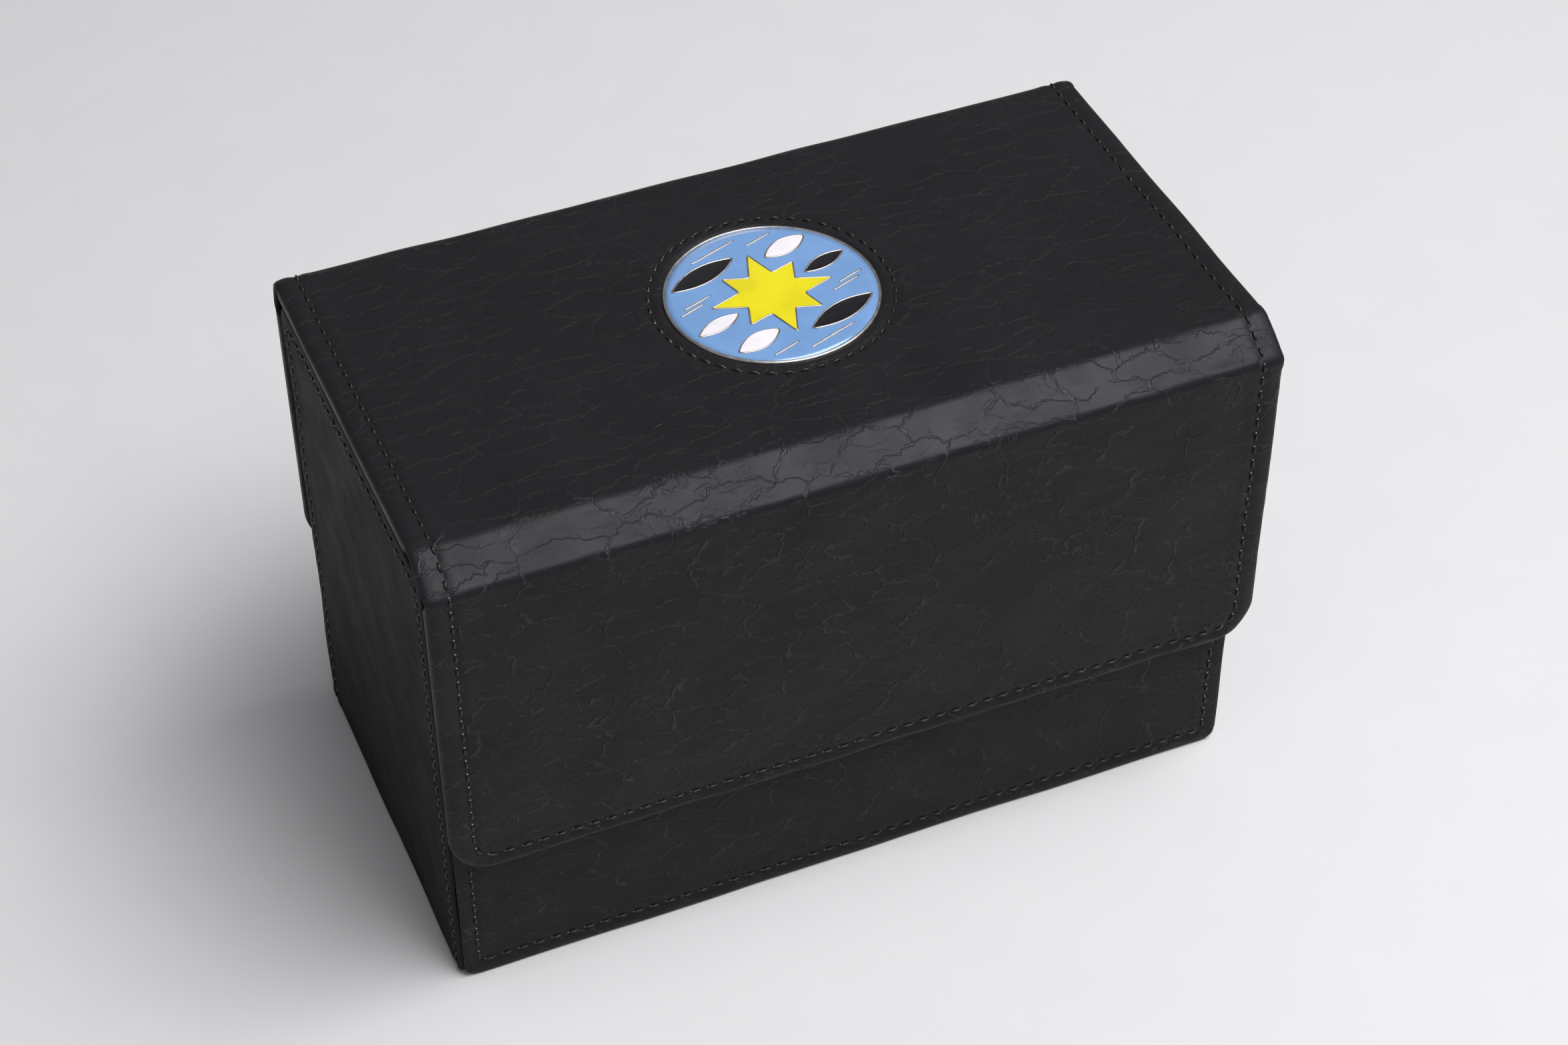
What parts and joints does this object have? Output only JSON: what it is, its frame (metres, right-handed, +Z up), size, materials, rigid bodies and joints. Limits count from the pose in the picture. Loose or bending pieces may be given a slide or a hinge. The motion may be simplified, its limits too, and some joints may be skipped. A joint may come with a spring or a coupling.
{
  "type": "card deck box",
  "caption": "Flip-top deck box in black stitched synthetic leather, with a folding lid and front flap, a round enamel medallion and a sliding divider.",
  "frame": {"origin": "under the centre of the cover, on the surface that the box stands on", "axes": "+X along the long side, -Y is the front with the flap, +Z up"},
  "size_m": [0.163, 0.09, 0.1063],
  "materials": {
    "cover_leather": "black synthetic leather with a fine crackled grain, satin",
    "wall_leather": "black synthetic leather, nearly smooth on the sides, satin",
    "strip_leather": "black synthetic leather, stretched and creased where the cover folds",
    "board": "grey board, never seen from outside",
    "lining": "black brushed cloth",
    "thread": "black bonded thread with small bright glints",
    "magnet": "nickel plate",
    "medallion_metal": "bright nickel on zinc alloy",
    "enamel_blue": "glossy soft enamel",
    "enamel_yellow": "glossy soft enamel",
    "enamel_black": "glossy soft enamel",
    "enamel_white": "glossy soft enamel"
  },
  "bodies": {
    "box": {"back_cover_board": "board", "back_cover_leather": "cover_leather", "back_cover_lining": "lining", "back_cover_thread": "thread", "back_wall_board": "board", "back_wall_leather": "wall_leather", "back_wall_lining": "lining", "back_wall_thread": "thread", "base_board": "board", "base_leather": "wall_leather", "base_lining": "lining", "front_wall_board": "board", "front_wall_leather": "wall_leather", "front_wall_left_magnet": "magnet", "front_wall_lining": "lining", "front_wall_right_magnet": "magnet", "front_wall_thread": "thread", "left_wall_board": "board", "left_wall_leather": "wall_leather", "left_wall_lining": "lining", "left_wall_thread": "thread", "right_wall_board": "board", "right_wall_leather": "wall_leather", "right_wall_lining": "lining", "right_wall_thread": "thread"},
    "back_strip": {"back_strip_leather": "strip_leather", "back_strip_left_thread": "thread", "back_strip_right_thread": "thread"},
    "lid": {"enamel_field": "enamel_blue", "enamel_slash_1": "enamel_black", "enamel_slash_2": "enamel_white", "enamel_slash_3": "enamel_white", "enamel_slash_4": "enamel_black", "enamel_slash_5": "enamel_white", "enamel_slash_6": "enamel_black", "enamel_star": "enamel_yellow", "lid_board": "board", "lid_leather": "cover_leather", "lid_left_thread": "thread", "lid_lining": "lining", "lid_right_thread": "thread", "medallion_coin": "medallion_metal", "medallion_thread": "thread"},
    "front_strip": {"front_strip_leather": "strip_leather", "front_strip_left_thread": "thread", "front_strip_right_thread": "thread"},
    "flap": {"flap_board": "board", "flap_leather": "cover_leather", "flap_left_magnet": "magnet", "flap_lining": "lining", "flap_right_magnet": "magnet", "flap_thread": "thread"},
    "divider": {"divider_board": "board", "divider_left_face": "lining", "divider_right_face": "lining"}
  },
  "joints": [
    {"name": "lid_fold", "type": "hinge", "parent": "back_strip", "child": "lid", "pos_m": [0, 0.04295, 0.106], "axis": [-1, 0, 0], "range_deg": [0, 143.76]},
    {"name": "back_strip_fold", "type": "hinge", "parent": "box", "child": "back_strip", "pos_m": [0, 0.04475, 0.1005], "axis": [-1, 0, 0], "range_deg": [0, 36.25]},
    {"name": "flap_fold", "type": "hinge", "parent": "front_strip", "child": "flap", "pos_m": [0, -0.04475, 0.101], "axis": [-1, 0, 0], "range_deg": [0, 78.17]},
    {"name": "front_strip_fold", "type": "hinge", "parent": "lid", "child": "front_strip", "pos_m": [0, -0.03655, 0.106], "axis": [-1, 0, 0], "range_deg": [0, 41.84]},
    {"name": "divider_slide", "type": "slide", "parent": "box", "child": "divider", "axis": [1, 0, 0], "range_m": [-0.075, 0.075]}
  ],
  "couplings": [
    {"joint": "back_strip_fold", "follows": "lid_fold", "ratio": 0.25212},
    {"joint": "front_strip_fold", "follows": "flap_fold", "ratio": 0.53513}
  ]
}
